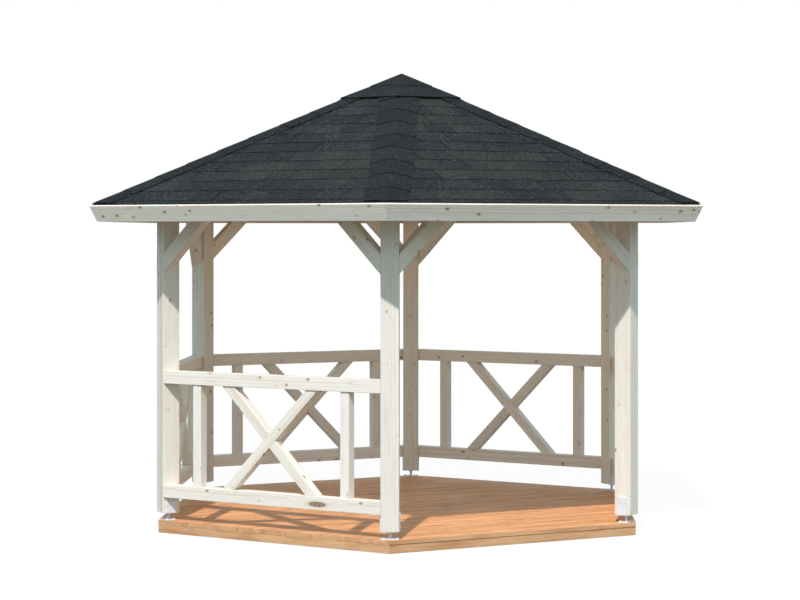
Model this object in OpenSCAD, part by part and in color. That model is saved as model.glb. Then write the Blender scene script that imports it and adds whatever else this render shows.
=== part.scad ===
// Six-sided open garden gazebo: glulam posts on adjustable steel shoes, a plank floor on a
// bearer frame, cross-braced railing panels on five sides, and a shingled pyramid roof.
// Millimetres. Origin at the bottom centre of the floor, +Z up. One corner post points to -Y.

/* [Overall] */
// radius of the circle through the post centres
post_r = 1816; // [1400:1:2400]
// height of the underside of the ring beams above the ground
eaves_z = 2180; // [1900:1:2600]
// pitch of the six roof slopes, in degrees
pitch = 25; // [20:0.5:32]
// how far the fascia top stands out in front of the ring beams, measured level
eaves_over = 412; // [250:1:600]

/* [Floor] */
// how far the corners of the six-sided floor reach past the post centres
deck_over = 72; // [60:1:120]
// height of the bearers under the floor boards
bearer_h = 55; // [45:1:120]
// width of the bearers
bearer_w = 60; // [45:1:100]
// thickness of the floor boards
board_t = 32; // [24:1:40]
// set-back of the bearers behind the board ends
bearer_back = 4; // [2:1:30]
// spacing of the joists
joist_pitch = 420; // [300:5:450]
// width of one joist
joist_w = 45; // [38:1:60]

/* [Posts and shoes] */
// side of the square posts
post_w = 120; // [100:1:140]
// chamfer on the post arrises
post_ch = 5; // [2:1:8]
// clear height between the floor and the post foot
foot_gap = 52; // [35:1:80]
// length of the shoe plate on the floor, across the corner
shoe_plate = 120; // [90:1:120]
// thickness of the shoe steel
steel_t = 5; // [3:0.5:6]
// diameter of the adjusting spindle
spindle_d = 20; // [16:1:24]
// width of the shoe plates
cheek_w = 70; // [50:1:70]
// height of the side plates on the post
cheek_h = 125; // [90:1:140]

/* [Side frames] */
// thickness of the rails, braces and ring beams
frame_t = 85; // [70:1:95]
// height of each rail
rail_h = 88; // [70:1:120]
// gap between the floor and the bottom rail
rail_gap = 159; // [120:1:220]
// height of the top of the railing above the floor
rail_top = 1028; // [900:1:1150]
// thickness of the studs and crossed bars, centred in the rails
stud_t = 66; // [45:1:70]
// face width of the upright studs
stud_w = 68; // [45:1:90]
// distance of the studs from the middle of a panel
stud_s = 602; // [450:1:640]
// face width of the crossed bars
cross_w = 68; // [45:1:80]
// half the length of rail that the cross spans
cross_s = 342; // [240:1:400]
// how far below the ring beams the knee braces meet the posts
brace_drop = 390; // [200:1:480]
// face width of the knee braces
brace_w = 88; // [60:1:110]
// height of the ring beams
beam_h = 150; // [120:1:160]

/* [Roof] */
// thickness of the roof boards
deck_t = 19; // [16:1:28]
// thickness of the shingle layer
shingle_t = 6; // [5:1:10]
// thickness of the fascia boards
fascia_t = 20; // [16:1:28]
// width of the fascia boards
fascia_w = 115; // [90:1:160]
// depth of the rafters
rafter_h = 90; // [70:1:95]
// width of the hip rafters
hip_w = 70; // [50:1:90]
// width of the middle rafters
rafter_w = 60; // [45:1:80]
// how far the rafters are notched over the outer faces of the ring beams
notch = 20; // [10:1:40]
// margin of the king block flats on each side of the rafter heads
king_lip = 1; // [1:1:20]
// height of the king block
king_h = 230; // [180:1:320]
// half width of the hip cap strips
cap_half = 140; // [90:1:170]
// corner radius of the cap over the peak
peak_r = 497; // [400:1:620]
// thickness of the hip caps and of the peak cap
cap_t = 5; // [4:1:8]

/* [Hidden] */
deck_r = post_r + deck_over;
deck_z = bearer_h + board_t;
post_z = deck_z + foot_gap;
face_n = post_r * cos(30) + post_w / 2 * (cos(30) + sin(30));
back_n = face_n - frame_t;
cp = cos(pitch);
sp = sin(pitch);
tp = tan(pitch);
roof_a = face_n + eaves_over;
eave_l = roof_a / cp;
brace_z = eaves_z - brace_drop;
rail_z0 = deck_z + rail_gap;
rail_z1 = deck_z + rail_top - rail_h;
peak_z = eaves_z + beam_h - notch + (rafter_h + deck_t) / cp + face_n * tp;
king_a = (max(hip_w, rafter_w) / 2 + king_lip) / tan(15);
big = 2 * roof_a;
cap_r0 = 300;
cheek_fit = 1;
joists = floor((deck_r * cos(30) - bearer_back - bearer_w) / joist_pitch);
stud_n = face_n - (frame_t + stud_t) / 2;

// half the free length between two posts, measured n out from the centre
function half_len(n) = n * tan(30) - post_w / 2 / cos(30);

// turn to the corner with number k; local -Y points outwards
module at_corner(k) {
  rotate([0, 0, 60 * k]) children();
}

// turn to the side that follows corner k; local -Y points outwards
module at_side(k) {
  rotate([0, 0, 60 * k + 30]) children();
}

// flat six-sided plate with corners on the post directions
module hexagon(r) {
  polygon([for (k = [0:5]) [r * sin(60 * k), -r * cos(60 * k)]]);
}

module floor_boards() {
  color("peru")
  translate([0, 0, bearer_h])
  linear_extrude(board_t)
  hexagon(deck_r);
}

module floor_frame() {
  rim_r = deck_r - bearer_back / cos(30);
  color("sienna")
  linear_extrude(bearer_h) {
    difference() {
      hexagon(rim_r);
      hexagon(rim_r - bearer_w / cos(30));
    }
    intersection() {
      hexagon(rim_r - bearer_w / 2);
      rotate(30)
      for (i = [-joists:joists])
      translate([i * joist_pitch - joist_w / 2, -deck_r])
      square([joist_w, 2 * deck_r]);
    }
  }
}

// square post with broken arrises
module post(k) {
  h = post_w / 2;
  c = h - post_ch;
  color("wheat")
  at_corner(k)
  translate([0, -post_r, post_z])
  linear_extrude(eaves_z - post_z)
  polygon([[-h, -c], [-c, -h], [c, -h], [h, -c], [h, c], [c, h], [-c, h], [-h, c]]);
}

// adjustable shoe: plate, spindle, and a U that holds the foot of the post
module shoe(k) {
  h = post_w / 2;
  color("silver")
  at_corner(k) {
    translate([-shoe_plate / 2, -post_r - cheek_w / 2, deck_z])
    cube([shoe_plate, cheek_w, steel_t]);
    translate([0, -post_r, deck_z])
    cylinder(h = foot_gap - steel_t / 2, d = spindle_d, $fn = 48);
    translate([-h - steel_t, -post_r - cheek_w / 2, post_z - steel_t])
    cube([post_w + 2 * steel_t, cheek_w, steel_t]);
    for (s = [-1, 1])
    translate([s * (h + steel_t / 2) - steel_t / 2, -post_r - cheek_w / 2, post_z - steel_t])
    cube([steel_t, cheek_w, cheek_h + steel_t]);
  }
}

// plan of a member that fills the gap between two posts
module between_posts() {
  polygon([
    [-half_len(face_n), -face_n], [half_len(face_n), -face_n],
    [half_len(back_n), -back_n], [-half_len(back_n), -back_n]]);
}

// room that the shoe side plates take out of the rail ends
module cheek_room(k) {
  for (e = [0, 1])
  at_corner(k + e)
  translate([-post_w / 2 - steel_t - cheek_fit, -post_r - cheek_w / 2 - cheek_fit, post_z])
  cube([post_w + 2 * (steel_t + cheek_fit), cheek_w + 2 * cheek_fit, cheek_h + cheek_fit]);
}

// one bar of the cross, seen from outside, leaning to the side given by d
module cross_bar(d) {
  rise = rail_z1 - rail_z0 - rail_h;
  lean = atan2(2 * cross_s, rise);
  translate([0, (rail_z0 + rail_h + rail_z1) / 2])
  rotate(d * lean)
  square([cross_w, 2 * rise], center = true);
}

module railing(k) {
  color("antiquewhite")
  difference() {
    union() {
      at_side(k) {
        for (z = [rail_z0, rail_z1])
        translate([0, 0, z])
        linear_extrude(rail_h)
        between_posts();
        translate([0, -stud_n, 0])
        rotate([90, 0, 0])
        linear_extrude(stud_t)
        intersection() {
          union() {
            cross_bar(1);
            cross_bar(-1);
            for (s = [-1, 1])
            translate([s * stud_s - stud_w / 2, rail_z0])
            square([stud_w, rail_z1 - rail_z0]);
          }
          translate([-post_r / 2, rail_z0 + rail_h / 2])
          square([post_r, rail_z1 - rail_z0]);
        }
      }
    }
    cheek_room(k);
  }
}

// knee braces at both ends of one side
module braces(k) {
  v = brace_w / cos(45);
  reach = eaves_z - brace_z;
  s0 = half_len(face_n);
  color("antiquewhite")
  at_side(k)
  for (m = [0, 1])
  mirror([m, 0, 0])
  intersection() {
    translate([0, -back_n, 0])
    rotate([90, 0, 0])
    linear_extrude(frame_t)
    polygon([
      [s0 - reach, eaves_z], [s0, brace_z], [s0 + v, brace_z - v],
      [s0 + v, brace_z], [s0, brace_z + v], [s0 - reach + v, eaves_z]]);
    translate([0, 0, brace_z - 2 * v])
    linear_extrude(reach + 3 * v)
    between_posts();
  }
}

// ring beam on the post tops, mitred over the corners
module beam(k) {
  color("antiquewhite")
  at_side(k)
  translate([0, 0, eaves_z])
  linear_extrude(beam_h)
  polygon([
    [-face_n * tan(30), -face_n], [face_n * tan(30), -face_n],
    [back_n * tan(30), -back_n], [-back_n * tan(30), -back_n]]);
}

// prism along one side whose section is set by offsets square to the roof slope
// l0..l1 run down the slope from the peak, w0..w1 are heights above the boards
module slope_layer(l0, l1, w0, w1) {
  function pt(l, w) = [l * cp + w * sp, peak_z - l * sp + w * cp];
  rotate([90, 0, -90])
  translate([0, 0, -big / 2])
  linear_extrude(big)
  polygon([pt(l0, w0), pt(l1, w0), pt(l1, w1), pt(l0, w1)]);
}

// upright wedge that holds one sixth of the roof
module sector() {
  linear_extrude(2 * big)
  polygon([[0, 0], [-big * tan(30), -big], [big * tan(30), -big]]);
}

// one slope's share of a layer, mitred at the hips
module slope_piece(k, l0, l1, w0, w1) {
  at_side(k)
  intersection() {
    slope_layer(l0, l1, w0, w1);
    sector();
  }
}

module fascia(k) {
  color("ivory")
  slope_piece(k, eave_l - fascia_t, eave_l, -fascia_w, 0);
}

// ring of six corner points, l down the slopes and w above the boards
function ring(l, w) = [for (k = [0:5])
  [(l * cp + w * sp) / cos(30) * sin(60 * k),
  -(l * cp + w * sp) / cos(30) * cos(60 * k),
  peak_z - l * sp + w * cp]];

// hollow pyramid shell between two offsets, cut square at l down the slopes
module shell(l, w0, w1) {
  pts = concat(ring(l, w1), ring(l, w0), [[0, 0, peak_z + w1 / cp], [0, 0, peak_z + w0 / cp]]);
  polyhedron(pts, concat(
    [for (k = [0:5]) [k, 12, (k + 1) % 6]],
    [for (k = [0:5]) [6 + (k + 1) % 6, 13, 6 + k]],
    [for (k = [0:5]) [k, (k + 1) % 6, 6 + (k + 1) % 6, 6 + k]]));
}

module roof_boards() {
  color("burlywood")
  shell(eave_l - fascia_t, -deck_t, 0);
}

module roof_shingles() {
  color("darkslategray")
  shell(eave_l - fascia_t, 0, shingle_t);
}

// everything under the roof boards on the slope of side k
module under_slope(k) {
  at_side(k)
  slope_layer(-big, eave_l - fascia_t, -deck_t - rafter_h, -deck_t);
}

module hip_rafters() {
  color("burlywood")
  difference() {
    for (k = [0:5])
    intersection() {
      at_corner(k)
      translate([-hip_w / 2, -big, 0])
      cube([hip_w, big - king_a, 2 * big]);
      under_slope(k);
      under_slope(k - 1);
    }
    translate([0, 0, eaves_z])
    linear_extrude(beam_h)
    hexagon(face_n / cos(30));
  }
}

module middle_rafters() {
  color("burlywood")
  difference() {
    for (k = [0:5])
    intersection() {
      at_side(k)
      translate([-rafter_w / 2, -big, 0])
      cube([rafter_w, big - king_a, 2 * big]);
      under_slope(k);
    }
    translate([0, 0, eaves_z])
    linear_extrude(beam_h)
    hexagon(face_n / cos(30));
  }
}

// twelve-sided hub; each flat takes the head of one rafter
module king_block() {
  top = peak_z - deck_t / cp - king_a * tp;
  r = king_a / cos(15);
  color("burlywood")
  translate([0, 0, top - king_h])
  linear_extrude(king_h)
  polygon([for (k = [0:11]) [r * sin(30 * k + 15), -r * cos(30 * k + 15)]]);
}

// points across one hip strip: left, ridge, right; e is 0 at the head and 1 at the eave
function strip(w, e) = [for (x = [-cap_half, 0, cap_half])
  let (l = eave_l - fascia_t, a = l * cp + w * sp, r = e == 0 ? cap_r0 : (a - abs(x) / 2) / cos(30))
  [x, -r, peak_z + w / cp - (r * cos(30) + abs(x) / 2) * tp]];

// capping strips over the six hips
module hip_caps() {
  w1 = shingle_t + cap_t;
  color("darkslategray")
  for (k = [0:5])
  at_corner(k)
  polyhedron(concat(strip(w1, 0), strip(w1, 1), strip(shingle_t, 0), strip(shingle_t, 1)), [
    [0, 1, 4, 3], [1, 2, 5, 4], [6, 9, 10, 7], [7, 10, 11, 8],
    [0, 3, 9, 6], [2, 8, 11, 5], [0, 6, 7, 1], [1, 7, 8, 2], [3, 4, 10, 9], [4, 5, 11, 10]]);
}

module peak_cap() {
  color("darkslategray")
  shell(peak_r * cos(30) / cp, shingle_t + cap_t, shingle_t + 2 * cap_t);
}

floor_boards();
floor_frame();
post(0);  // post_front
post(1);  // post_front_right
post(2);  // post_back_right
post(3);  // post_back
post(4);  // post_back_left
post(5);  // post_front_left
shoe(0);  // shoe_front
shoe(1);  // shoe_front_right
shoe(2);  // shoe_back_right
shoe(3);  // shoe_back
shoe(4);  // shoe_back_left
shoe(5);  // shoe_front_left
beam(5);  // beam_front_left
beam(0);  // beam_front_right
beam(1);  // beam_right
beam(2);  // beam_back_right
beam(3);  // beam_back_left
beam(4);  // beam_left
braces(5);  // braces_front_left
braces(0);  // braces_front_right
braces(1);  // braces_right
braces(2);  // braces_back_right
braces(3);  // braces_back_left
braces(4);  // braces_left
railing(5);  // railing_front_left
railing(1);  // railing_right
railing(2);  // railing_back_right
railing(3);  // railing_back_left
railing(4);  // railing_left
fascia(5);  // fascia_front_left
fascia(0);  // fascia_front_right
fascia(1);  // fascia_right
fascia(2);  // fascia_back_right
fascia(3);  // fascia_back_left
fascia(4);  // fascia_left
hip_rafters();
middle_rafters();
king_block();
roof_boards();
roof_shingles();
hip_caps();
peak_cap();
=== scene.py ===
import math
import random

import bmesh
import bpy
from mathutils import Matrix, Vector


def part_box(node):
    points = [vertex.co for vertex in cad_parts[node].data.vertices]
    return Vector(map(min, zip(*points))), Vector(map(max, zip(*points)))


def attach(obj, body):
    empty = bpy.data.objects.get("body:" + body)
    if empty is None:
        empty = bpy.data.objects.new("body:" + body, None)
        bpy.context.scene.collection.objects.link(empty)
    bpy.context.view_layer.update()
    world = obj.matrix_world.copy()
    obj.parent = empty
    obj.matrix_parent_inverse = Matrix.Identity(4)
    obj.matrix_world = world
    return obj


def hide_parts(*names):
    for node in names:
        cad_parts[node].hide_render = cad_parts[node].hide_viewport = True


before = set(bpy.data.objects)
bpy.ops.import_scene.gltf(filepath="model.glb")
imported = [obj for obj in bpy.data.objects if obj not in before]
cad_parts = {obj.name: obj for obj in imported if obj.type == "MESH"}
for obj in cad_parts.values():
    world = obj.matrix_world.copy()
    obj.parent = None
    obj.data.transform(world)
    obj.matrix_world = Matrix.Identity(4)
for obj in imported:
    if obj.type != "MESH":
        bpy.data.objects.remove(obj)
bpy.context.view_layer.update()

CORNERS = ["front", "front_right", "back_right", "back", "back_left", "front_left"]
SIDES = ["front_right", "right", "back_right", "back_left", "left", "front_left"]
ENTRANCE = 0
TAN30 = math.tan(math.radians(30))
COS30 = math.cos(math.radians(30))
SIN30 = 0.5


def side_turn(k):
    """Turn to side k: local -Y points outwards, +X runs along the side."""
    return Matrix.Rotation(math.radians(60 * k + 30), 4, "Z")


def corner_turn(k):
    """Turn to corner k: local -Y points outwards."""
    return Matrix.Rotation(math.radians(60 * k), 4, "Z")


def outer_reach(node, turn):
    """How far a node reaches outwards, and where it starts, along the local -Y of a turn."""
    back = turn.inverted()
    values = [-(back @ v.co).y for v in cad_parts[node].data.vertices]
    return max(values), min(values)


# ---------------------------------------------------------------- sizes read from the frame
FLOOR_LOW, FLOOR_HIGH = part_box("floor_boards")
POST_LOW, POST_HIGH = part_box("post_front")
BEARER_TOP = FLOOR_LOW.z
DECK_TOP = FLOOR_HIGH.z
DECK_R = FLOOR_HIGH.y
DECK_FLAT = DECK_R * COS30
POST_W = POST_HIGH.x - POST_LOW.x
POST_R = -(POST_LOW.y + POST_HIGH.y) / 2
POST_FOOT = POST_LOW.z
EAVES_Z = POST_HIGH.z
BEAM_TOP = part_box("beam_right")[1].z
FRAME_FACE, FRAME_BACK = outer_reach("beam_right", side_turn(1))
FRAME_T = FRAME_FACE - FRAME_BACK
RAIL_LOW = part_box("railing_right")[0].z
RAIL_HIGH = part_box("railing_right")[1].z
CHEEK_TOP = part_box("shoe_front")[1].z
PEAK_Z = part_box("roof_boards")[1].z
PITCH = math.radians(25)  # pitch of the CAD's roof
PITCH_COS = math.cos(PITCH)
PITCH_SIN = math.sin(PITCH)
PITCH_TAN = math.tan(PITCH)
EAVE_OUT = outer_reach("fascia_right", side_turn(1))[0]
EAVE_DOWN = EAVE_OUT / PITCH_COS  # down the slope from the peak
KING_LOW, KING_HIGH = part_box("king_block")
PEAK_CAP_INSET = 0.018  # how far the cap's shingles stop inside its CAD outline
PEAK_CAP_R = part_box("peak_cap")[1].y - PEAK_CAP_INSET

# ---------------------------------------------------------------- sizes of the members
RAIL_H = 0.088
STUD_T = 0.066
STUD_W = 0.068
STUD_PLACE = 0.602  # from the middle of a side
CROSS_W = 0.068
CROSS_REACH = 0.342  # from the middle of the cross to its ends, along the side
CROSS_BLANK = 2.0  # length of the blank a cross bar is cut from
BRACE_W = 0.088
BRACE_TOE = EAVES_Z - 0.390
BRACE_BLANK = 1.2  # length of the blank a brace is cut from
TIMBER_EDGE = 0.003  # rounding of the planed edges
LARGE_KNOT = (0.393, 0.006)  # along and down from the middle of a rail
FAR_OFF = Vector((9, 9, 9))  # offset from the large knot for solids that have none
POST_CHAMFER = 0.005
LAMELLA = 0.040  # thickness of a glued layer

STEEL_T = 0.005
CHEEK_W = 0.070
CHEEK_CORNER = 0.009
PLATE_W = 0.120
PLATE_CORNER = 0.008
SPINDLE_R = 0.010
ROD_SIDES = 24
THREAD_PITCH = 0.0035
THREAD_DEPTH = 0.0014
SCREW_R = 0.0055
SCREW_HEAD_H = 0.0028
SCREW_COLUMNS = (-0.024, 0, 0.024)
SCREW_ROWS = (0.016, 0.038)  # below the top of a cheek
RECESS_R = 0.0026
RECESS_H = 0.0032
COLLAR_R = 0.0125
COLLAR_H = 0.004
NUT_R = 0.0150
NUT_H = 0.009
WASHER_R = 0.0075
WASHER_T = 0.0012
ANCHOR_HEAD_H = 0.0045
ANCHOR_X = 0.045
ANCHOR_Y = 0.022

BEARER_BACK = 0.004  # how far the rim stands back on the two sides that run with the boards
BEARER_BACK_ENDS = 0.001  # the same on the other four, under the ends of the boards
BEARER_W = 0.060
JOIST_W = 0.045
JOIST_PITCH = 0.420
FLOOR_BOARD_W = 0.115
FLOOR_GAP = 0.003
FLOOR_BOARD_EDGE = 0.004
FLOOR_BOARD_END_EDGE = 0.0012
FLOOR_FRAME_EDGE = 0.002

FASCIA_T = 0.020
FASCIA_W = 0.115
FASCIA_EDGE = 0.0015
ROOF_BOARD_T = 0.019
ROOF_BOARD_W = 0.096
ROOF_BOARD_GAP = 0.0004
ROOF_BOARD_EDGE = 0.0028
RAFTER_H = 0.090
HIP_W = 0.070
RAFTER_W = 0.060
RAFTER_EDGE = 0.0025
RAFTER_BLANK = 0.6  # depth of the blank a rafter is cut from
KING_LIP = 0.001
KING_SIDES = 12
KING_EDGE = 0.006
KING_FLAT = (HIP_W / 2 + KING_LIP) / math.tan(math.pi / KING_SIDES)

# A pair named _TOPS gives the height of a tile's upper face over the roof boards, at its head and
# at its lower edge.
SHINGLE_END = EAVE_DOWN - FASCIA_T
UNDERLAY_T = 0.002
STARTER_L = 0.120
STARTER_TOPS = (0.0025, 0.0052)
STARTER_T = 0.0028
FIRST_COURSE = 0.050
COURSE = 0.160
COURSE_LAP = 0.020
TAB = 0.200
TABS_IN_STRIP = 5
TAB_GAP = 0.0010
STRIP_GAP = 0.0080
TAB_T = 0.003
TAB_TOPS = (0.0032, 0.0062)
TAB_UNEVEN = 0.0015
TAB_SKEW = 0.001
JOINT_TOPS = (0.0032, 0.0050)
JOINT_T = 0.001
CAP_HALF = 0.140
CAP_STEP = 0.2345
CAP_LAP = 0.030
CAP_START = 0.40
CAP_FOLD = 0.030  # radius of the bend over a hip
CAP_T = 0.0035
CAP_HEAD = 0.0075
CAP_LOW_EDGES = (0.0115, 0.0108)
CAP_UNEVEN = 0.006
PEAK_OUTER_HEAD = 0.18
PEAK_OUTER_TOPS = (0.0130, 0.0228)
PEAK_OUTER_T = 0.006
PEAK_INNER_SHARE = 0.51  # length of the inner course as a share of the whole cap
PEAK_INNER_TOPS = (0.0145, 0.0185)
PEAK_INNER_T = 0.003

# ---------------------------------------------------------------- light and camera
SUN_FALL = Vector((0.085, 0.62, -0.78))
SUN_POWER = 3.60
SUN_TINT = (1.0, 0.965, 0.955)
SUN_SPREAD = math.radians(1.6)
SKY = [  # place from straight down (0) over the horizon (0.5) to straight up (1), and colour
    (0.02, (0.24, 0.27, 0.23)), (0.47, (0.25, 0.28, 0.24)), (0.51, (0.44, 0.56, 0.60)),
    (0.58, (0.60, 0.80, 0.86)), (0.68, (0.84, 1.12, 1.20)), (0.80, (0.48, 0.64, 0.69)),
    (0.98, (0.30, 0.42, 0.46))]
FILL_POWER = 7.5
FILL_TINT = (1.0, 0.93, 0.76)
STAGE_R = 60  # radius of the white ground
STAGE_SHADE = 0.05  # share of the ground that takes light and shadow
EYE_BEARING = math.radians(2.345)
EYE_DISTANCE = 15.902
EYE_HEIGHT = 2.070
LENS = 98.4
LENS_SHIFT = (-0.0021, -0.0860)


# ---------------------------------------------------------------- mesh helpers
def block(x0, x1, y0, y1, z0, z1):
    """Box in its own axes; timbers run along X."""
    bm = bmesh.new()
    middle = Vector(((x0 + x1) / 2, (y0 + y1) / 2, (z0 + z1) / 2))
    size = Matrix.Diagonal((x1 - x0, y1 - y0, z1 - z0, 1))
    bmesh.ops.create_cube(bm, size=1, matrix=Matrix.Translation(middle) @ size)
    return bm


def cut(bm, point, normal):
    """Cuts away what lies on the side of a plane that its normal points to, and closes the cut."""
    geom = bm.verts[:] + bm.edges[:] + bm.faces[:]
    made = bmesh.ops.bisect_plane(
        bm, geom=geom, dist=1e-6, plane_co=Vector(point), plane_no=Vector(normal), clear_outer=True)
    rim = [e for e in made["geom_cut"] if isinstance(e, bmesh.types.BMEdge)]
    if rim:
        bmesh.ops.contextual_create(bm, geom=rim)
    return bm


def soften(bm, width, segments=2):
    """Rounds every edge of a solid."""
    bmesh.ops.bevel(
        bm, geom=bm.edges[:], offset=width, segments=segments, profile=0.5,
        affect="EDGES", clamp_overlap=True)
    return bm


def soften_board(bm, sides, ends):
    """Rounds the long edges of a board by one width and its ends by another."""
    long_edges = [e for e in bm.edges if abs((e.verts[0].co - e.verts[1].co).normalized().x) > 0.999]
    bmesh.ops.bevel(bm, geom=long_edges, offset=sides, segments=2, profile=0.5, affect="EDGES")
    sharp = [e for e in bm.edges if len(e.link_faces) == 2 and e.calc_face_angle() > 0.9]
    bmesh.ops.bevel(bm, geom=sharp, offset=ends, segments=1, affect="EDGES")
    return bm


def axes(origin, along, outward):
    """Place whose X follows a timber's grain and whose Y is as near as can be to outward."""
    x = Vector(along).normalized()
    z = x.cross(Vector(outward)).normalized()
    y = z.cross(x)
    place = Matrix((x, y, z)).transposed().to_4x4()
    place.translation = Vector(origin)
    return place


class Build:
    """Solids joined in one piece; each keeps grain coordinates in its own axes, and a tone."""

    def __init__(self, name):
        self.name = name
        self.random = random.Random(name)
        self.verts, self.faces = [], []
        self.slots, self.smooth = [], []
        self.grain, self.tone, self.eye = [], [], []

    def add(self, bm, place=None, slot=0, tone=None, smooth=False, eye=None):
        """Adds a solid and frees it. eye is the middle of its large knot, in its own axes."""
        place = place or Matrix.Identity(4)
        base = len(self.verts)
        shift = Vector((
            self.random.uniform(-30, 30),
            LAMELLA / 2 + LAMELLA * self.random.randint(-4, 4),
            self.random.uniform(-0.12, 0.12)))
        value = self.random.random() if tone is None else tone
        bm.normal_update()
        bm.verts.index_update()
        for v in bm.verts:
            self.verts.append(place @ v.co)
            self.grain.extend(v.co + shift)
            self.tone.append(value)
            self.eye.extend(v.co - eye if eye else FAR_OFF)
        for f in bm.faces:
            self.faces.append([base + v.index for v in f.verts])
            self.slots.append(slot + f.material_index)
            self.smooth.append(smooth)
        bm.free()

    def finish(self, nodes, materials):
        """Makes the piece that stands in for the CAD nodes."""
        mesh = bpy.data.meshes.new(self.name)
        mesh.from_pydata(self.verts, [], self.faces)
        mesh.attributes.new("grain", "FLOAT_VECTOR", "POINT").data.foreach_set("vector", self.grain)
        mesh.attributes.new("tone", "FLOAT", "POINT").data.foreach_set("value", self.tone)
        mesh.attributes.new("eye", "FLOAT_VECTOR", "POINT").data.foreach_set("vector", self.eye)
        for material in materials:
            mesh.materials.append(material)
        mesh.polygons.foreach_set("material_index", self.slots)
        mesh.polygons.foreach_set("use_smooth", self.smooth)
        if any(self.smooth):
            mesh.set_sharp_from_angle(angle=math.radians(30))
        mesh.update()
        piece = bpy.data.objects.new(self.name, mesh)
        bpy.context.scene.collection.objects.link(piece)
        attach(piece, "root")
        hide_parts(*nodes)
        return piece


# ---------------------------------------------------------------- materials
class Graph:
    """Short hand for building a material's nodes."""

    def __init__(self, name):
        self.material = bpy.data.materials.new(name)
        self.material.use_nodes = True
        self.tree = self.material.node_tree
        self.tree.nodes.clear()
        self.shader = self.add("ShaderNodeBsdfPrincipled")
        out = self.add("ShaderNodeOutputMaterial")
        self.tree.links.new(self.shader.outputs["BSDF"], out.inputs["Surface"])

    def add(self, kind, inputs=None, **settings):
        node = self.tree.nodes.new(kind)
        for key, value in settings.items():
            setattr(node, key, value)
        for key, value in (inputs or {}).items():
            self.put(node, key, value)
        return node

    def put(self, node, key, value):
        if isinstance(value, bpy.types.NodeSocket):
            self.tree.links.new(value, node.inputs[key])
        else:
            node.inputs[key].default_value = value

    def attribute(self, name, output):
        return self.add("ShaderNodeAttribute", attribute_name=name).outputs[output]

    def scaled(self, vector, factors):
        node = self.add("ShaderNodeVectorMath", {0: vector, 1: factors}, operation="MULTIPLY")
        return node.outputs["Vector"]

    def math(self, operation, a, b=0.0):
        node = self.add("ShaderNodeMath", {0: a, 1: b}, operation=operation)
        return node.outputs["Value"]

    def noise(self, vector, scale, detail=3.0, roughness=0.5):
        node = self.add("ShaderNodeTexNoise", {
            "Vector": vector, "Scale": scale, "Detail": detail,
            "Roughness": roughness})
        return node.outputs["Fac"]

    def remap(self, value, low, high, out_low=0.0, out_high=1.0):
        node = self.add("ShaderNodeMapRange", {
            "Value": value, "From Min": low, "From Max": high,
            "To Min": out_low, "To Max": out_high}, clamp=True)
        return node.outputs["Result"]

    def mix(self, factor, a, b, blend="MIX"):
        node = self.add("ShaderNodeMix", data_type="RGBA", blend_type=blend)
        self.put(node, 0, factor)
        self.put(node, 6, a)
        self.put(node, 7, b)
        return node.outputs[2]

    def level(self, value):
        node = self.add("ShaderNodeCombineColor", {"Red": value, "Green": value, "Blue": value})
        return node.outputs["Color"]

    def bump(self, height, strength, distance):
        node = self.add("ShaderNodeBump", {
            "Height": height, "Strength": strength, "Distance": distance})
        return node.outputs["Normal"]


def rgb(r, g, b):
    return (r, g, b, 1.0)


def grey(value):
    return (value, value, value, 1.0)


def growth_rings(g, grain, wander, swell, rings):
    """Growth rings cut along the grain, swelling a little beside knots."""
    split = g.add("ShaderNodeSeparateXYZ", {0: grain})
    bent = g.add("ShaderNodeCombineXYZ", {
        "X": split.outputs["X"],
        "Y": g.math("ADD", split.outputs["Y"], swell),
        "Z": g.math("ADD", split.outputs["Z"], g.math("MULTIPLY", wander, 0.034))})
    return g.add("ShaderNodeTexWave", {
        "Vector": g.scaled(bent.outputs["Vector"], (0.05, 1.0, 1.0)), "Scale": rings,
        "Distortion": 1.1, "Detail": 2.0, "Detail Scale": 1.2}, wave_type="RINGS",
        rings_direction="X").outputs["Fac"]


def lamella_shade(g, grain, tone):
    """Small step in shade from one glued lamella, and one timber, to the next."""
    split = g.add("ShaderNodeSeparateXYZ", {0: grain})
    lamella = g.math("FLOOR", g.math("DIVIDE", split.outputs["Y"], LAMELLA))
    lot = g.add("ShaderNodeTexWhiteNoise", {
        "Vector": g.add("ShaderNodeCombineXYZ", {"X": lamella, "Y": tone}).outputs["Vector"]},
        noise_dimensions="3D").outputs["Value"]
    shade = g.math("ADD", g.remap(lot, 0.0, 1.0, 0.95, 1.03), g.remap(tone, 0.0, 1.0, -0.05, 0.03))
    return g.level(shade)


def small_knots(g, colour, spots, knot_size, dark, knot):
    """Round knots with a soft halo; spots is one cell per knot, which sets its size and depth."""
    near = spots.outputs["Distance"]
    size = g.remap(spots.outputs["Color"], 0.0, 1.0, 0.36 * knot_size, knot_size)
    halo = g.remap(near, size, g.math("MULTIPLY", size, 1.8), 0.55, 0.0)
    depth = g.add("ShaderNodeSeparateColor", {0: spots.outputs["Color"]}).outputs["Green"]
    depth = g.remap(depth, 0.0, 0.6, 0.35, 1.0)
    heart = g.remap(near, g.math("MULTIPLY", size, 0.55), size, depth, 0.0)
    return g.mix(heart, g.mix(halo, colour, dark), knot)


def large_knot(g, colour, eye, dark):
    """The one large oval knot, with dark rings of its own."""
    rings = g.math("SINE", g.math("MULTIPLY", eye, 19.0))
    depth = g.math("MULTIPLY", g.remap(eye, 0.75, 1.05, 1.0, 0.0), g.remap(rings, -1.0, 1.0, 0.55, 0.95))
    colour = g.mix(g.remap(eye, 0.9, 1.5, 0.6, 0.0), colour, dark)
    return g.mix(depth, colour, rgb(0.115, 0.075, 0.040))


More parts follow.
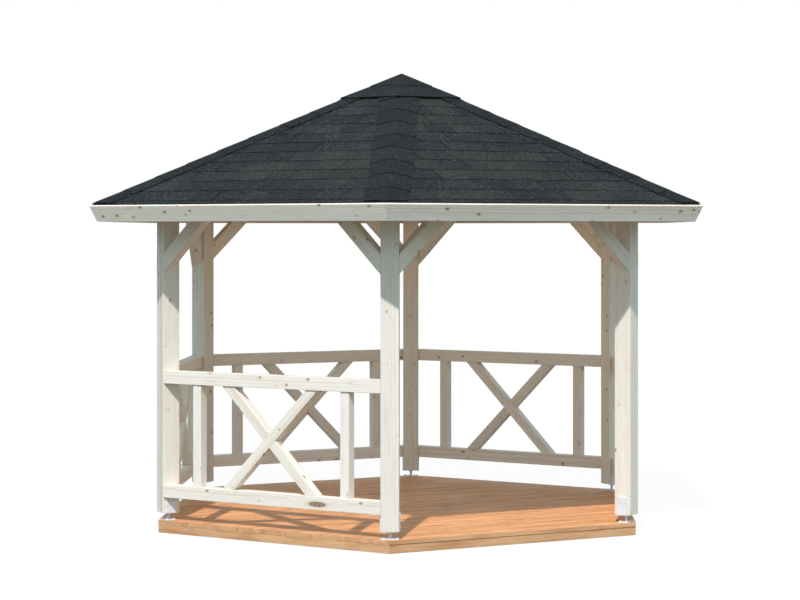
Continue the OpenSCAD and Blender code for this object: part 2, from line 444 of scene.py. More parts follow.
def upright_face_colour(g, colour, grain, side, dark):
    """Greyer, mottled colour on the upright faces, picked by the direction each face points."""
    normal = g.add("ShaderNodeSeparateXYZ", {0: g.add("ShaderNodeNewGeometry").outputs["Normal"]})
    upright = g.remap(g.math("ABSOLUTE", normal.outputs["Z"]), 0.3, 0.9, 0.70, 0.0)
    mottle = g.noise(g.scaled(grain, (2.5, 14.0, 14.0)), 1.0, 3.0, 0.65)
    return g.mix(upright, colour, g.mix(g.remap(mottle, 0.42, 0.66, 0.0, 0.7), side, dark))


def timber_material(
        name, pale, streak, dark, knot, knots, knot_size, rings, spread, gloss, patchy, side=None):
    """Planed softwood: growth rings, fibre streaks, glued lamellas and knots along the grain.

    knots is how many cells of knots there are in a metre, rings the number of ring waves, spread
    how strong the rings are, patchy how strong the broad streaks are, and side the colour of the
    upright faces where it differs."""
    g = Graph(name)
    grain = g.attribute("grain", "Vector")
    tone = g.attribute("tone", "Fac")
    wander = g.noise(g.scaled(grain, (0.8, 5.0, 5.0)), 1.0, 2.0)
    spots = g.add("ShaderNodeTexVoronoi", {
        "Vector": g.scaled(grain, (knots * 0.62, knots, knots)), "Scale": 1.0,
        "Randomness": 1.0}, feature="F1")
    eye = g.add("ShaderNodeVectorMath", {
        0: g.scaled(g.attribute("eye", "Vector"), (10.5, 40.0, 40.0))}, operation="LENGTH")
    eye = g.math("ADD", eye.outputs["Value"], g.math("MULTIPLY", wander, 0.35))
    swell = g.math(
        "ADD", g.remap(spots.outputs["Distance"], 0.0, 0.26, 0.006, 0.0),
        g.remap(eye, 0.6, 3.0, 0.016, 0.0))
    ring = growth_rings(g, grain, wander, swell, rings)
    fibre = g.noise(g.scaled(grain, (3.0, 170.0, 170.0)), 1.0, 4.0, 0.62)
    broad = g.noise(g.scaled(grain, (0.7, 16.0, 16.0)), 1.0, 2.0)
    brush = g.noise(g.scaled(grain, (5.0, 75.0, 75.0)), 1.0, 3.0, 0.6)
    sweep = g.noise(g.scaled(grain, (3.2, 17.0, 17.0)), 1.0, 3.0, 0.7)
    colour = g.mix(g.remap(broad, 0.5 - 0.2 / patchy, 0.5 + 0.2 / patchy), pale, streak)
    colour = g.mix(g.remap(brush, 0.52, 0.72, 0.0, 0.35 * patchy), colour, dark)
    colour = g.mix(g.remap(sweep, 0.50, 0.62, 0.0, 0.48 * patchy - 0.25), colour, dark)
    colour = g.mix(g.remap(ring, 0.62, 1.0, 0.0, spread), colour, dark)
    colour = g.mix(g.remap(fibre, 0.35, 0.75, 0.0, 0.5 * spread + 0.08), colour, dark)
    colour = g.mix(1.0, colour, lamella_shade(g, grain, tone), "MULTIPLY")
    colour = small_knots(g, colour, spots, knot_size, dark, knot)
    colour = large_knot(g, colour, eye, dark)
    if side:
        colour = upright_face_colour(g, colour, grain, side, dark)
    g.put(g.shader, "Base Color", colour)
    g.put(g.shader, "Roughness", g.remap(fibre, 0.3, 0.7, gloss, gloss + 0.14))
    height = g.math("ADD", g.math("MULTIPLY", fibre, 0.6), g.math("MULTIPLY", ring, 0.4))
    g.put(g.shader, "Normal", g.bump(height, 0.35, 0.0012))
    g.shader.inputs["Specular IOR Level"].default_value = 0.32
    return g.material


def shingle_material(name, first, second, fleck, low, high):
    """Mineral granules on bitumen, with a tone for each tab and broad weather patches."""
    g = Graph(name)
    grain = g.attribute("grain", "Vector")
    tone = g.attribute("tone", "Fac")
    where = g.add("ShaderNodeTexCoord").outputs["Object"]
    fine = g.noise(grain, 70.0, 4.0, 0.9)
    clump = g.noise(grain, 48.0, 4.0, 0.9)
    patch = g.noise(where, 1.7, 2.0)
    band = g.noise(g.scaled(where, (0.35, 0.35, 3.4)), 2.6, 2.0)
    kind = g.math("ADD", g.math("ADD", patch, band), g.math("MULTIPLY", tone, 0.22))
    colour = g.mix(g.remap(kind, 0.97, 1.24), first, second)
    colour = g.mix(g.remap(clump, 0.53, 0.60, 0.0, 1.0), colour, fleck)
    level = g.math("MULTIPLY", g.remap(fine, 0.36, 0.64, low, high), g.remap(tone, 0.0, 1.0, 0.84, 1.16))
    colour = g.mix(1.0, colour, g.level(level), "MULTIPLY")
    g.put(g.shader, "Base Color", colour)
    g.put(g.shader, "Roughness", g.remap(fine, 0.3, 0.7, 0.82, 0.97))
    height = g.math("ADD", fine, g.math("MULTIPLY", clump, 0.6))
    g.put(g.shader, "Normal", g.bump(height, 0.7, 0.0025))
    g.shader.inputs["Specular IOR Level"].default_value = 0.25
    return g.material


def steel_material():
    """Hot-dip zinc with soft spangle."""
    g = Graph("galvanised_steel")
    where = g.add("ShaderNodeTexCoord").outputs["Object"]
    spangle = g.add("ShaderNodeTexVoronoi", {"Vector": where, "Scale": 140.0}, feature="F1")
    dull = g.noise(where, 45.0, 3.0)
    facet = g.remap(spangle.outputs["Distance"], 0.0, 0.9)
    tint = g.mix(facet, rgb(0.76, 0.76, 0.82), rgb(0.82, 0.82, 0.88))
    g.put(g.shader, "Base Color", g.mix(g.remap(dull, 0.4, 0.7, 0.0, 0.25), tint, rgb(0.66, 0.67, 0.72)))
    g.put(g.shader, "Roughness", g.remap(dull, 0.3, 0.7, 0.38, 0.58))
    g.shader.inputs["Metallic"].default_value = 0.10
    g.put(g.shader, "Normal", g.bump(dull, 0.15, 0.0006))
    return g.material


def recess_shade_material():
    """Painted shade of the drive recess in a screw head: a dark disc stands for the shadowed recess."""
    g = Graph("screw_recess_shade")
    dull = g.noise(g.add("ShaderNodeTexCoord").outputs["Object"], 300.0, 2.0)
    g.put(g.shader, "Base Color", g.mix(dull, rgb(0.05, 0.05, 0.055), rgb(0.12, 0.12, 0.13)))
    g.put(g.shader, "Roughness", g.remap(dull, 0.3, 0.7, 0.4, 0.6))
    g.shader.inputs["Metallic"].default_value = 0.6
    return g.material


def bitumen_and_shadow_material():
    """Near-black bitumen: the bare bitumen in the joints between strips of shingle and on the cut edges
    of the hip caps, darkened to paint the shadow in those joints and under those edges.
    """
    g = Graph("bitumen_joint_and_shadow")
    dull = g.noise(g.attribute("grain", "Vector"), 120.0, 3.0)
    g.put(g.shader, "Base Color", g.mix(dull, rgb(0.0015, 0.0018, 0.0020), rgb(0.0050, 0.0052, 0.0050)))
    g.put(g.shader, "Roughness", g.remap(dull, 0.3, 0.7, 0.75, 0.95))
    g.shader.inputs["Specular IOR Level"].default_value = 0.1
    return g.material


PALE = timber_material(
    "pale_timber", rgb(0.880, 0.840, 0.812), rgb(0.848, 0.788, 0.722), rgb(0.650, 0.500, 0.365),
    rgb(0.340, 0.195, 0.110), 14.0, 0.160, 44.0, 0.42, 0.52, 0.8)
DECK = timber_material(
    "deck_timber", rgb(0.970, 0.460, 0.190), rgb(0.760, 0.325, 0.118), rgb(0.360, 0.150, 0.062),
    rgb(0.180, 0.070, 0.030), 7.0, 0.10, 24.0, 0.42, 0.44, 1.7, rgb(0.620, 0.385, 0.225))
ROOF_TIMBER = timber_material(
    "roof_timber", rgb(0.800, 0.730, 0.590), rgb(0.740, 0.640, 0.480), rgb(0.600, 0.450, 0.290),
    rgb(0.250, 0.120, 0.060), 8.5, 0.13, 28.0, 0.34, 0.55, 1.0)
SHINGLE = shingle_material(
    "shingle", rgb(0.0078, 0.0094, 0.0112), rgb(0.0160, 0.0198, 0.0182), rgb(0.049, 0.050, 0.050),
    0.06, 1.84)
HIP_SHINGLE = shingle_material(
    "hip_shingle", rgb(0.0055, 0.0067, 0.0082), rgb(0.0080, 0.0096, 0.0108), rgb(0.033, 0.035, 0.038),
    0.06, 1.80)
STEEL = steel_material()
RECESS_SHADE = recess_shade_material()
BITUMEN_AND_SHADOW = bitumen_and_shadow_material()


# ---------------------------------------------------------------- floor
def hexagon_cut(bm, place, distance):
    """Cuts a solid, given in the axes of place, to a six-sided outline round the centre."""
    back = place.inverted()
    for k in range(6):
        normal = side_turn(k).to_3x3() @ Vector((0, -1, 0))
        cut(bm, back @ (normal * distance), back.to_3x3() @ normal)
    return bm


def floor_boards():
    build = Build("floor_planks")
    turn = side_turn(ENTRANCE)
    step = FLOOR_BOARD_W + FLOOR_GAP
    count = math.ceil(2 * DECK_FLAT / step)
    for i in range(count):
        y0 = -DECK_FLAT + i * step
        bm = block(-DECK_R, DECK_R, y0, y0 + FLOOR_BOARD_W, BEARER_TOP, DECK_TOP)
        hexagon_cut(bm, turn, DECK_FLAT)
        if len(bm.faces) < 5:
            bm.free()
            continue
        middle = Matrix.Translation((0, y0 + FLOOR_BOARD_W / 2, DECK_TOP))
        bmesh.ops.transform(bm, matrix=middle.inverted(), verts=bm.verts)
        build.add(soften_board(bm, FLOOR_BOARD_EDGE, FLOOR_BOARD_END_EDGE), turn @ middle)
    return build.finish(["floor_boards"], [DECK])


def floor_frame():
    build = Build("floor_bearers")
    for k in range(6):
        rim = DECK_FLAT - (BEARER_BACK if k % 3 == ENTRANCE else BEARER_BACK_ENDS)
        bm = block(-DECK_R, DECK_R, -BEARER_W / 2, BEARER_W / 2, -BEARER_TOP / 2, BEARER_TOP / 2)
        place = side_turn(k) @ Matrix.Translation((0, BEARER_W / 2 - rim, BEARER_TOP / 2))
        corner = Vector((rim * TAN30, -BEARER_W / 2, 0))
        cut(bm, corner, (COS30, SIN30, 0))
        corner.x = -corner.x
        cut(bm, corner, (-COS30, SIN30, 0))
        build.add(soften(bm, FLOOR_FRAME_EDGE), place)
    rim = DECK_FLAT - BEARER_BACK
    joists = math.floor((DECK_FLAT - BEARER_BACK - BEARER_W) / JOIST_PITCH)
    turn = side_turn(ENTRANCE)
    for i in range(-joists, joists + 1):
        bm = block(-DECK_R, DECK_R, -JOIST_W / 2, JOIST_W / 2, -BEARER_TOP / 2, BEARER_TOP / 2)
        place = turn @ axes((i * JOIST_PITCH, 0, BEARER_TOP / 2), (0, 1, 0), (1, 0, 0))
        hexagon_cut(bm, place, rim - BEARER_W)
        build.add(soften(bm, FLOOR_FRAME_EDGE), place)
    return build.finish(["floor_frame"], [DECK])


# ---------------------------------------------------------------- posts and shoes
def post(k):
    build = Build(CORNERS[k] + "_post")
    half = POST_W / 2
    bm = block(POST_FOOT, EAVES_Z, -half, half, -half, half)
    long_edges = [e for e in bm.edges if abs((e.verts[0].co - e.verts[1].co).x) > 0.1]
    bmesh.ops.bevel(bm, geom=long_edges, offset=POST_CHAMFER, segments=2, profile=0.6, affect="EDGES")
    place = corner_turn(k) @ axes((0, -POST_R, 0), (0, 0, 1), (0, -1, 0))
    build.add(bm, place)
    return build.finish(["post_" + CORNERS[k]], [PALE])


def disc(radius, height, sides, lift=0.0, turn=0.0):
    """Upright prism with a small chamfer, standing on z = lift."""
    bm = bmesh.new()
    bmesh.ops.create_cone(
        bm, cap_ends=True, segments=sides, radius1=radius, radius2=radius, depth=height,
        matrix=Matrix.Translation((0, 0, lift + height / 2)) @ Matrix.Rotation(turn, 4, "Z"))
    rim = [e for e in bm.edges if abs(e.verts[0].co.z - e.verts[1].co.z) < 1e-6]
    bmesh.ops.bevel(bm, geom=rim, offset=min(0.0008, height / 4), segments=1, affect="EDGES")
    return bm


def threaded_rod(radius, low, high):
    """Rod whose thread is a row of ridges."""
    bm = bmesh.new()
    rings = []
    turns = int((high - low) / THREAD_PITCH)
    for i in range(2 * turns + 1):
        r = radius if i % 2 else radius - THREAD_DEPTH
        z = low + (high - low) * i / (2 * turns)
        ring = []
        for j in range(ROD_SIDES):
            angle = 2 * math.pi * j / ROD_SIDES
            ring.append(bm.verts.new((r * math.cos(angle), r * math.sin(angle), z)))
        rings.append(ring)
    for a, b in zip(rings, rings[1:]):
        for j in range(ROD_SIDES):
            n = (j + 1) % ROD_SIDES
            bm.faces.new((a[j], a[n], b[n], b[j]))
    bm.faces.new(reversed(rings[0]))
    bm.faces.new(rings[-1])
    return bm


def plate(x0, x1, y0, y1, z0, z1, corner, upright=False):
    """Steel plate with rounded corners on its thin edges."""
    bm = block(x0, x1, y0, y1, z0, z1)
    axis = 0 if upright else 2
    thin = [
        e for e in bm.edges
        if abs((e.verts[0].co - e.verts[1].co)[axis]) > 1e-6
        and not (upright and e.verts[0].co.z < (z0 + z1) / 2)]
    bmesh.ops.bevel(bm, geom=thin, offset=corner, segments=5, profile=0.5, affect="EDGES")
    return bm


def shoe(k):
    build = Build(CORNERS[k] + "_shoe")
    place = corner_turn(k) @ Matrix.Translation((0, -POST_R, 0))
    half = POST_W / 2
    seat = POST_FOOT - STEEL_T
    wide = PLATE_W / 2
    deep = CHEEK_W / 2
    build.add(plate(-wide, wide, -deep, deep, DECK_TOP, DECK_TOP + STEEL_T, PLATE_CORNER), place)
    build.add(plate(-half - STEEL_T, half + STEEL_T, -deep, deep, seat, POST_FOOT, 0.001), place)
    for s in (-1, 1):
        inner, outer = sorted((s * half, s * (half + STEEL_T)))
        build.add(plate(inner, outer, -deep, deep, seat, CHEEK_TOP, CHEEK_CORNER, True), place)
        for row in SCREW_ROWS:
            for col in SCREW_COLUMNS:
                turn = Matrix.Rotation(s * math.pi / 2, 4, "Y")
                spot = Matrix.Translation((s * (half + STEEL_T), col, CHEEK_TOP - row)) @ turn
                build.add(disc(SCREW_R, SCREW_HEAD_H, 16), place @ spot)
                # Dark disc on each screw head: painted shade of its drive recess.
                build.add(disc(RECESS_R, RECESS_H, 6), place @ spot, slot=1)
    build.add(threaded_rod(SPINDLE_R, DECK_TOP + STEEL_T, seat), place)
    build.add(disc(COLLAR_R, COLLAR_H, 24, DECK_TOP + STEEL_T), place)
    build.add(disc(NUT_R, NUT_H, 6, seat - NUT_H, 0.4), place)
    for x in (-ANCHOR_X, ANCHOR_X):
        for y in (-ANCHOR_Y, ANCHOR_Y):
            spot = Matrix.Translation((x, y, DECK_TOP + STEEL_T))
            build.add(disc(WASHER_R, WASHER_T, 20), place @ spot)
            build.add(disc(SCREW_R, ANCHOR_HEAD_H, 6, WASHER_T, x + y), place @ spot)
    return build.finish(["shoe_" + CORNERS[k]], [STEEL, RECESS_SHADE])


# ---------------------------------------------------------------- side frames
def half_len(n):
    """Half the free length between two posts, measured n out from the centre."""
    return n * TAN30 - POST_W / 2 / COS30


def end_cuts(bm, back):
    """Cuts a member to the side faces of the posts at both of its ends."""
    for s in (-1, 1):
        point = back @ Vector((s * half_len(FRAME_FACE), -FRAME_FACE, 0))
        cut(bm, point, back.to_3x3() @ Vector((s * COS30, SIN30, 0)))
    return bm


def side_member(build, k, start, along, length, width, depth, cuts, eye=None):
    """Timber in the plane of a side: along is its direction there, cuts are extra planes."""
    place = axes(start, along, (0, -1, 0))
    bm = block(-length / 2, length / 2, -depth / 2, depth / 2, -width / 2, width / 2)
    back = place.inverted()
    for point, normal in cuts:
        cut(bm, back @ Vector(point), back.to_3x3() @ Vector(normal))
    end_cuts(bm, back)
    build.add(soften(bm, TIMBER_EDGE), side_turn(k) @ place, eye=eye)


def railing(k):
    build = Build(SIDES[k] + "_railing")
    middle = -(FRAME_FACE - FRAME_T / 2)
    low_top = RAIL_LOW + RAIL_H
    high_low = RAIL_HIGH - RAIL_H
    eye = Vector((LARGE_KNOT[0], FRAME_T / 2, LARGE_KNOT[1])) if SIDES[k] == "front_left" else None
    low_rail = (0, middle, RAIL_LOW + RAIL_H / 2)
    high_rail = (0, middle, RAIL_HIGH - RAIL_H / 2)
    side_member(build, k, low_rail, (1, 0, 0), 2 * POST_R, RAIL_H, FRAME_T, [], eye=eye)
    side_member(build, k, high_rail, (1, 0, 0), 2 * POST_R, RAIL_H, FRAME_T, [])
    ends = [((0, 0, low_top), (0, 0, -1)), ((0, 0, high_low), (0, 0, 1))]
    mid_z = (low_top + high_low) / 2
    for s in (-1, 1):
        side_member(
            build, k, (s * STUD_PLACE, middle, mid_z), (0, 0, 1), 2 * RAIL_HIGH, STUD_W, STUD_T, ends)
    lean = Vector((CROSS_REACH * 2, 0, high_low - low_top)).normalized()
    side_member(build, k, (0, middle, mid_z), lean, CROSS_BLANK, CROSS_W, STUD_T, ends)
    other = Vector((-lean.x, 0, lean.z))
    across = Vector((-lean.z, 0, lean.x))
    for s in (-1, 1):
        butt = [(across * (s * CROSS_W / 2) + Vector((0, middle, mid_z)), across * -s)]
        side_member(build, k, (0, middle, mid_z), other, CROSS_BLANK, CROSS_W, STUD_T, ends + butt)
    return build.finish(["railing_" + SIDES[k]], [PALE])


def braces(k):
    build = Build(SIDES[k] + "_braces")
    middle = -(FRAME_FACE - FRAME_T / 2)
    reach = EAVES_Z - BRACE_TOE
    for s in (-1, 1):
        along = Vector((s, 0, -1)).normalized()
        toe = Vector((s * half_len(FRAME_FACE), middle, BRACE_TOE))
        head = toe + Vector((-s * reach, 0, reach))
        inward = Vector((s, 0, 1)).normalized() * (BRACE_W / 2)
        start = (toe + head) / 2 + inward
        top = [((0, 0, EAVES_Z), (0, 0, 1))]
        side_member(build, k, start, along, BRACE_BLANK, BRACE_W, FRAME_T, top)
    return build.finish(["braces_" + SIDES[k]], [PALE])


def beam(k):
    build = Build(SIDES[k] + "_beam")
    high = BEAM_TOP - EAVES_Z
    bm = block(-POST_R, POST_R, -FRAME_T / 2, FRAME_T / 2, -high / 2, high / 2)
    corner = Vector((FRAME_FACE * TAN30, -FRAME_T / 2, 0))
    cut(bm, corner, (COS30, SIN30, 0))
    corner.x = -corner.x
    cut(bm, corner, (-COS30, SIN30, 0))
    place = side_turn(k) @ Matrix.Translation((0, -(FRAME_FACE - FRAME_T / 2), EAVES_Z + high / 2))
    build.add(soften(bm, TIMBER_EDGE), place)
    return build.finish(["beam_" + SIDES[k]], [PALE])


# ---------------------------------------------------------------- roof timbers
def slope_place(k):
    """Axes on a slope, from the peak of the roof boards: X along the eaves, -Y down, Z up off it."""
    place = Matrix(((1, 0, 0), (0, PITCH_COS, -PITCH_SIN), (0, PITCH_SIN, PITCH_COS))).to_4x4()
    place.translation = Vector((0, 0, PEAK_Z))
    return side_turn(k) @ place


def hip_cuts(bm):
    """Cuts a solid in slope axes to the two hips of its slope."""
    for s in (-1, 1):
        cut(bm, (0, 0, 0), (s, PITCH_COS * TAN30, -PITCH_SIN * TAN30))
    return bm


def roof_boards():
    build = Build("roof_planking")
    count = math.ceil(SHINGLE_END / ROOF_BOARD_W)
    for k in range(6):
        for i in range(count):
            y1 = -SHINGLE_END + (i + 1) * ROOF_BOARD_W
            y0 = y1 - ROOF_BOARD_W + ROOF_BOARD_GAP
            bm = block(-EAVE_DOWN, EAVE_DOWN, y0, y1, -ROOF_BOARD_T, -ROOF_BOARD_GAP)
            hip_cuts(bm)
            if len(bm.faces) < 5:
                bm.free()
                continue
            middle = Matrix.Translation((0, y1 - ROOF_BOARD_W / 2, 0))
            bmesh.ops.transform(bm, matrix=middle.inverted(), verts=bm.verts)
            build.add(soften(bm, ROOF_BOARD_EDGE, 1), slope_place(k) @ middle)
    return build.finish(["roof_boards"], [ROOF_TIMBER])


def trim(bm, place, point, normal):
    """Cut whose plane is given in the frame's axes."""
    back = place.inverted()
    return cut(bm, back @ point, back.to_3x3() @ normal)


def rafter(build, turn, slopes, width):
    """Rafter from the king block to the fascia, flush under its slopes."""
    outward = turn.to_3x3() @ Vector((0, -1, 0))
    fall = (PITCH_TAN * COS30) if len(slopes) == 2 else PITCH_TAN
    run = outward + Vector((0, 0, -fall))
    depth = (ROOF_BOARD_T + RAFTER_H) / PITCH_COS
    top = Vector((0, 0, PEAK_Z))
    place = axes(top - Vector((0, 0, depth / 2)), run, turn.to_3x3() @ Vector((1, 0, 0)))
    bm = block(0, 2 * EAVE_DOWN, -width / 2, width / 2, -RAFTER_BLANK / 2, RAFTER_BLANK / 2)
    for k in slopes:
        up = slope_place(k).to_3x3() @ Vector((0, 0, 1))
        out = slope_place(k).to_3x3() @ Vector((0, -1, 0))
        trim(bm, place, top - up * ROOF_BOARD_T, up)
        trim(bm, place, top - up * (ROOF_BOARD_T + RAFTER_H), -up)
        trim(bm, place, top + out * SHINGLE_END, out)
    trim(bm, place, outward * KING_FLAT, -outward)
    build.add(soften(bm, RAFTER_EDGE), place)


def rafters():
    hips = Build("hip_rafter_timbers")
    commons = Build("middle_rafter_timbers")
    for k in range(6):
        rafter(hips, corner_turn(k), (k, (k - 1) % 6), HIP_W)
        rafter(commons, side_turn(k), (k,), RAFTER_W)
    hips.finish(["hip_rafters"], [ROOF_TIMBER])
    commons.finish(["middle_rafters"], [ROOF_TIMBER])


def king_block():
    build = Build("king_post_block")
    bm = bmesh.new()
    low, high = KING_LOW.z, KING_HIGH.z
    radius = KING_FLAT / math.cos(math.pi / KING_SIDES)
    bmesh.ops.create_cone(
        bm, cap_ends=True, segments=KING_SIDES, radius1=radius, radius2=radius, depth=high - low,
        matrix=Matrix.Rotation(math.pi / KING_SIDES, 4, "Z"))
    turn = Matrix.Rotation(math.radians(90), 4, "Y")
    bmesh.ops.transform(bm, matrix=turn, verts=bm.verts)
    place = Matrix.Translation((0, 0, (low + high) / 2)) @ turn.inverted()
    build.add(soften(bm, KING_EDGE), place)
    return build.finish(["king_block"], [ROOF_TIMBER])


def fascia(k):
    build = Build(SIDES[k] + "_fascia")
    bm = block(-EAVE_DOWN, EAVE_DOWN, -EAVE_DOWN, -EAVE_DOWN + FASCIA_T, -FASCIA_W, 0)
    hip_cuts(bm)
    middle = Matrix.Translation((0, FASCIA_T / 2 - EAVE_DOWN, -FASCIA_W / 2))
    bmesh.ops.transform(bm, matrix=middle.inverted(), verts=bm.verts)
    build.add(soften(bm, FASCIA_EDGE), slope_place(k) @ middle)
    return build.finish(["fascia_" + SIDES[k]], [PALE])


# ---------------------------------------------------------------- shingles
def slab(x0, x1, l0, l1, tops, thick, shift=0.0):
    """Thin tile on a slope, l0 to l1 down it; shift moves its lower edge along the eaves."""
    bm = bmesh.new()
    rows = []
    for l, w in ((l0, tops[0]), (l1, tops[1])):
        skew = shift if l == l1 else 0.0
        rows.append([bm.verts.new((x, -l, w - t)) for x in (x0 + skew, x1 + skew) for t in (0, thick)])
    (a, b, c, d), (e, f, g, h) = rows
    for quad in ((a, e, g, c), (b, d, h, f), (a, c, d, b), (e, f, h, g), (a, b, f, e), (c, g, h, d)):
        bm.faces.new(quad)
    return bm


def shingle_course(build, place, low, course):
    """Tabs of one course, low metres down the slope; every second course starts half a tab on."""
    half_width = low * PITCH_COS * TAN30
    start = -TAB * (math.ceil(half_width / TAB) + 1) + (course % 2) * TAB / 2
    lead = build.random.randrange(TABS_IN_STRIP)
    tabs = int(2 * (half_width + 2 * TAB) / TAB) + 1
    for i in range(tabs):
        x0 = start + i * TAB
        x1 = x0 + TAB
        drop = build.random.uniform(-TAB_UNEVEN, TAB_UNEVEN)
        if min(abs(x0), abs(x1)) > half_width + TAB / 2:
            continue
        strip_end = (i + lead) % TABS_IN_STRIP == 0
        gap = STRIP_GAP if strip_end else TAB_GAP
        if strip_end:
            # Near-black strip under the joint: bare bitumen, with the shadow in the slot painted in.
            joint = slab(x1 - STRIP_GAP, x1, low - COURSE, low, JOINT_TOPS, JOINT_T)
            build.add(hip_cuts(joint), place, slot=1)
        tops = (TAB_TOPS[0], TAB_TOPS[1] + abs(drop))
        skew = build.random.uniform(-TAB_SKEW, TAB_SKEW)
        tab = slab(x0, x1 - gap, low - COURSE - COURSE_LAP, low + drop, tops, TAB_T, skew)
        hip_cuts(tab)
        if len(tab.faces) < 4:
            tab.free()
            continue
        build.add(tab, place)


def roof_shingles():
    build = Build("shingle_courses")
    for k in range(6):
        place = slope_place(k)
        underlay = block(-EAVE_DOWN, EAVE_DOWN, -SHINGLE_END, 0, 0, UNDERLAY_T)
        build.add(hip_cuts(underlay), place, tone=0.1)
        starter = slab(
            -EAVE_DOWN, EAVE_DOWN, SHINGLE_END - STARTER_L, SHINGLE_END, STARTER_TOPS, STARTER_T)
        build.add(hip_cuts(starter), place, tone=0.35)
        low = SHINGLE_END - FIRST_COURSE
        course = 0
        while low > PEAK_CAP_R * COS30 / PITCH_COS - COURSE:
            shingle_course(build, place, low, course)
            low -= COURSE
            course += 1
    return build.finish(["roof_shingles"], [SHINGLE, BITUMEN_AND_SHADOW])


def cap_height(x, r, w):
    """Height of a layer w above the roof boards, x beside a hip and r out from the centre."""
    beside = math.hypot(x, CAP_FOLD)
    proud = CAP_FOLD / 2 * PITCH_TAN * (1 - 0.7 * (x / CAP_HALF) ** 2)
    return PEAK_Z + w / PITCH_COS + proud - (r * COS30 + beside / 2) * PITCH_TAN


def cap_piece(r0, r1, shift, lift):
    """Strip bent over a hip, from r0 at its head to r1 at its lower edge, cut square at the eaves.

    lift is how high the lower edge stands off the boards."""
    def spot(x, r, w):
        r = min(r, (SHINGLE_END * PITCH_COS - abs(x) / 2) / COS30)
        return (x + shift, -r, cap_height(x, r, w))

    bm = bmesh.new()
    spread = [-1, -0.72, -0.45, -0.22, -0.08, 0, 0.08, 0.22, 0.45, 0.72, 1]
    grid = []
    for r, w in ((r0, CAP_HEAD), ((r0 + r1) / 2, (CAP_HEAD + lift) / 2), (r1, lift)):
        row = []
        for t in (0, CAP_T):
            row.append([bm.verts.new(spot(CAP_HALF * u, r, w - t)) for u in spread])
        grid.append(row)
    last = len(spread) - 1
    for (top0, low0), (top1, low1) in zip(grid, grid[1:]):
        for i in range(last):
            bm.faces.new((top0[i], top1[i], top1[i + 1], top0[i + 1]))
            bm.faces.new((low0[i], low0[i + 1], low1[i + 1], low1[i]))
        # The side and lower edge faces take the near-black bitumen: cut edges, with the shadow along and
        # under them painted in.
        bm.faces.new((top0[0], low0[0], low1[0], top1[0])).material_index = 1
        bm.faces.new((top0[last], top1[last], low1[last], low0[last])).material_index = 1
    head, foot = grid[0], grid[-1]
    for i in range(last):
        bm.faces.new((head[0][i], head[0][i + 1], head[1][i + 1], head[1][i]))
        bm.faces.new((foot[0][i], foot[1][i], foot[1][i + 1], foot[0][i + 1])).material_index = 1
    return bm


def hip_caps():
    build = Build("hip_cap_strips")
    end = SHINGLE_END * PITCH_COS / COS30
    count = math.ceil((end - CAP_START) / CAP_STEP)
    for k in range(6):
        for i in range(count):
            low = end - i * CAP_STEP
            shift = build.random.uniform(-CAP_UNEVEN, CAP_UNEVEN)
            piece = cap_piece(low - CAP_STEP - CAP_LAP, low, shift, CAP_LOW_EDGES[i % 2])
            build.add(piece, corner_turn(k), tone=0.25 + 0.5 * (i % 2), smooth=True)
    return build.finish(["hip_caps"], [HIP_SHINGLE, BITUMEN_AND_SHADOW])


def peak_cap():
    build = Build("peak_cap_shingles")
    low = PEAK_CAP_R * COS30 / PITCH_COS
    for k in range(6):
        outer = slab(-low, low, PEAK_OUTER_HEAD, low, PEAK_OUTER_TOPS, PEAK_OUTER_T)
        build.add(hip_cuts(outer), slope_place(k), tone=0.3 + 0.1 * (k % 3))
        inner = slab(-low, low, 0.0, low * PEAK_INNER_SHARE, PEAK_INNER_TOPS, PEAK_INNER_T)
        build.add(hip_cuts(inner), slope_place(k), tone=0.4 + 0.1 * (k % 2))
    return build.finish(["peak_cap"], [HIP_SHINGLE])


# ---------------------------------------------------------------- stage, light and camera
def studio_floor():
    """Plain white ground with only a trace of shadow."""
    floor_mesh = bpy.data.meshes.new("studio_floor")
    bm = bmesh.new()
    bmesh.ops.create_circle(bm, cap_ends=True, segments=96, radius=STAGE_R)
    bm.to_mesh(floor_mesh)
    bm.free()
    floor = bpy.data.objects.new("studio_floor", floor_mesh)
    bpy.context.scene.collection.objects.link(floor)
    floor.visible_diffuse = False
    floor.visible_glossy = False
    paint = bpy.data.materials.new("studio_floor")
    paint.use_nodes = True
    tree = paint.node_tree
    tree.nodes.clear()
    glow = tree.nodes.new("ShaderNodeEmission")
    glow.inputs["Color"].default_value = grey(1.0)
    matt = tree.nodes.new("ShaderNodeBsdfDiffuse")
    matt.inputs["Color"].default_value = grey(0.9)
    both = tree.nodes.new("ShaderNodeMixShader")
    both.inputs["Fac"].default_value = STAGE_SHADE
    out = tree.nodes.new("ShaderNodeOutputMaterial")
    tree.links.new(glow.outputs[0], both.inputs[1])
    tree.links.new(matt.outputs[0], both.inputs[2])
    tree.links.new(both.outputs[0], out.inputs[0])
    floor_mesh.materials.append(paint)


def sky_colours(tree):
    """Background whose colour follows the height it is seen at, from below to straight up."""
    fill = tree.nodes.new("ShaderNodeBackground")
    where = tree.nodes.new("ShaderNodeTexCoord")
    split = tree.nodes.new("ShaderNodeSeparateXYZ")
    height = tree.nodes.new("ShaderNodeMapRange")
    height.inputs["From Min"].default_value = -1.0
    ramp = tree.nodes.new("ShaderNodeValToRGB")
    for place, colour in SKY:
        stop = ramp.color_ramp.elements.new(place)
        stop.color = rgb(*colour)
    ramp.color_ramp.elements.remove(ramp.color_ramp.elements[0])
    ramp.color_ramp.elements.remove(ramp.color_ramp.elements[-1])
    tree.links.new(where.outputs["Generated"], split.inputs[0])
    tree.links.new(split.outputs["Z"], height.inputs["Value"])
    tree.links.new(height.outputs["Result"], ramp.inputs["Fac"])
    tree.links.new(ramp.outputs["Color"], fill.inputs["Color"])
    return fill


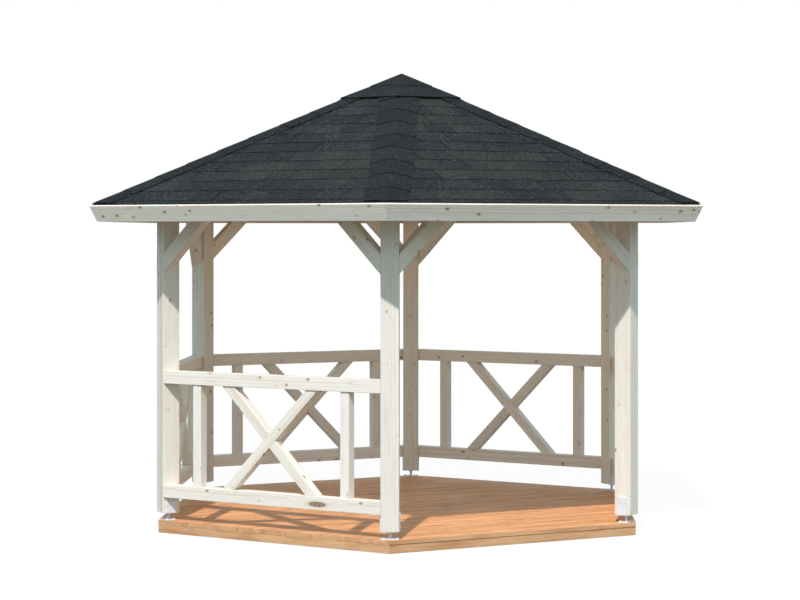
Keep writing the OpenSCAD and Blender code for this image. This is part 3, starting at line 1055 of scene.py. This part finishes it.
def sky():
    """Light from all round, seen by the camera as plain white."""
    world = bpy.data.worlds.new("studio")
    bpy.context.scene.world = world
    world.use_nodes = True
    tree = world.node_tree
    tree.nodes.clear()
    fill = sky_colours(tree)
    white = tree.nodes.new("ShaderNodeBackground")
    white.inputs["Color"].default_value = grey(1.0)
    path = tree.nodes.new("ShaderNodeLightPath")
    pick = tree.nodes.new("ShaderNodeMixShader")
    out = tree.nodes.new("ShaderNodeOutputWorld")
    tree.links.new(path.outputs["Is Camera Ray"], pick.inputs["Fac"])
    tree.links.new(fill.outputs[0], pick.inputs[1])
    tree.links.new(white.outputs[0], pick.inputs[2])
    tree.links.new(pick.outputs[0], out.inputs["Surface"])


def lamps():
    """Soft sun from the front, and a weak warm lamp under the roof."""
    key = bpy.data.lights.new("key", "SUN")
    key.energy = SUN_POWER
    key.color = SUN_TINT
    key.angle = SUN_SPREAD
    lamp = bpy.data.objects.new("key", key)
    lamp.rotation_euler = SUN_FALL.to_track_quat("-Z", "Y").to_euler()
    bpy.context.scene.collection.objects.link(lamp)

    fill = bpy.data.lights.new("under_roof_fill", "AREA")
    fill.shape = "DISK"
    fill.size = 2 * POST_R * COS30
    fill.energy = FILL_POWER
    fill.color = FILL_TINT
    soft = bpy.data.objects.new("under_roof_fill", fill)
    soft.location = (0, 0, EAVES_Z)
    soft.visible_camera = False
    soft.visible_glossy = False
    bpy.context.scene.collection.objects.link(soft)


def camera():
    data = bpy.data.cameras.new("view")
    data.sensor_width = 36
    data.lens = LENS
    data.shift_x = LENS_SHIFT[0]
    data.shift_y = LENS_SHIFT[1]
    data.clip_end = 200
    eye = bpy.data.objects.new("view", data)
    eye.location = (
        EYE_DISTANCE * math.sin(EYE_BEARING), -EYE_DISTANCE * math.cos(EYE_BEARING), EYE_HEIGHT)
    eye.rotation_euler = (math.radians(90), 0, EYE_BEARING)
    bpy.context.scene.collection.objects.link(eye)
    bpy.context.scene.camera = eye


floor_boards()
floor_frame()
for corner in range(6):
    post(corner)
    shoe(corner)
for side in range(6):
    beam(side)
    braces(side)
    fascia(side)
    if side != ENTRANCE:
        railing(side)
roof_boards()
rafters()
king_block()
roof_shingles()
hip_caps()
peak_cap()
studio_floor()
sky()
lamps()
camera()
bpy.context.scene.view_settings.view_transform = "Standard"
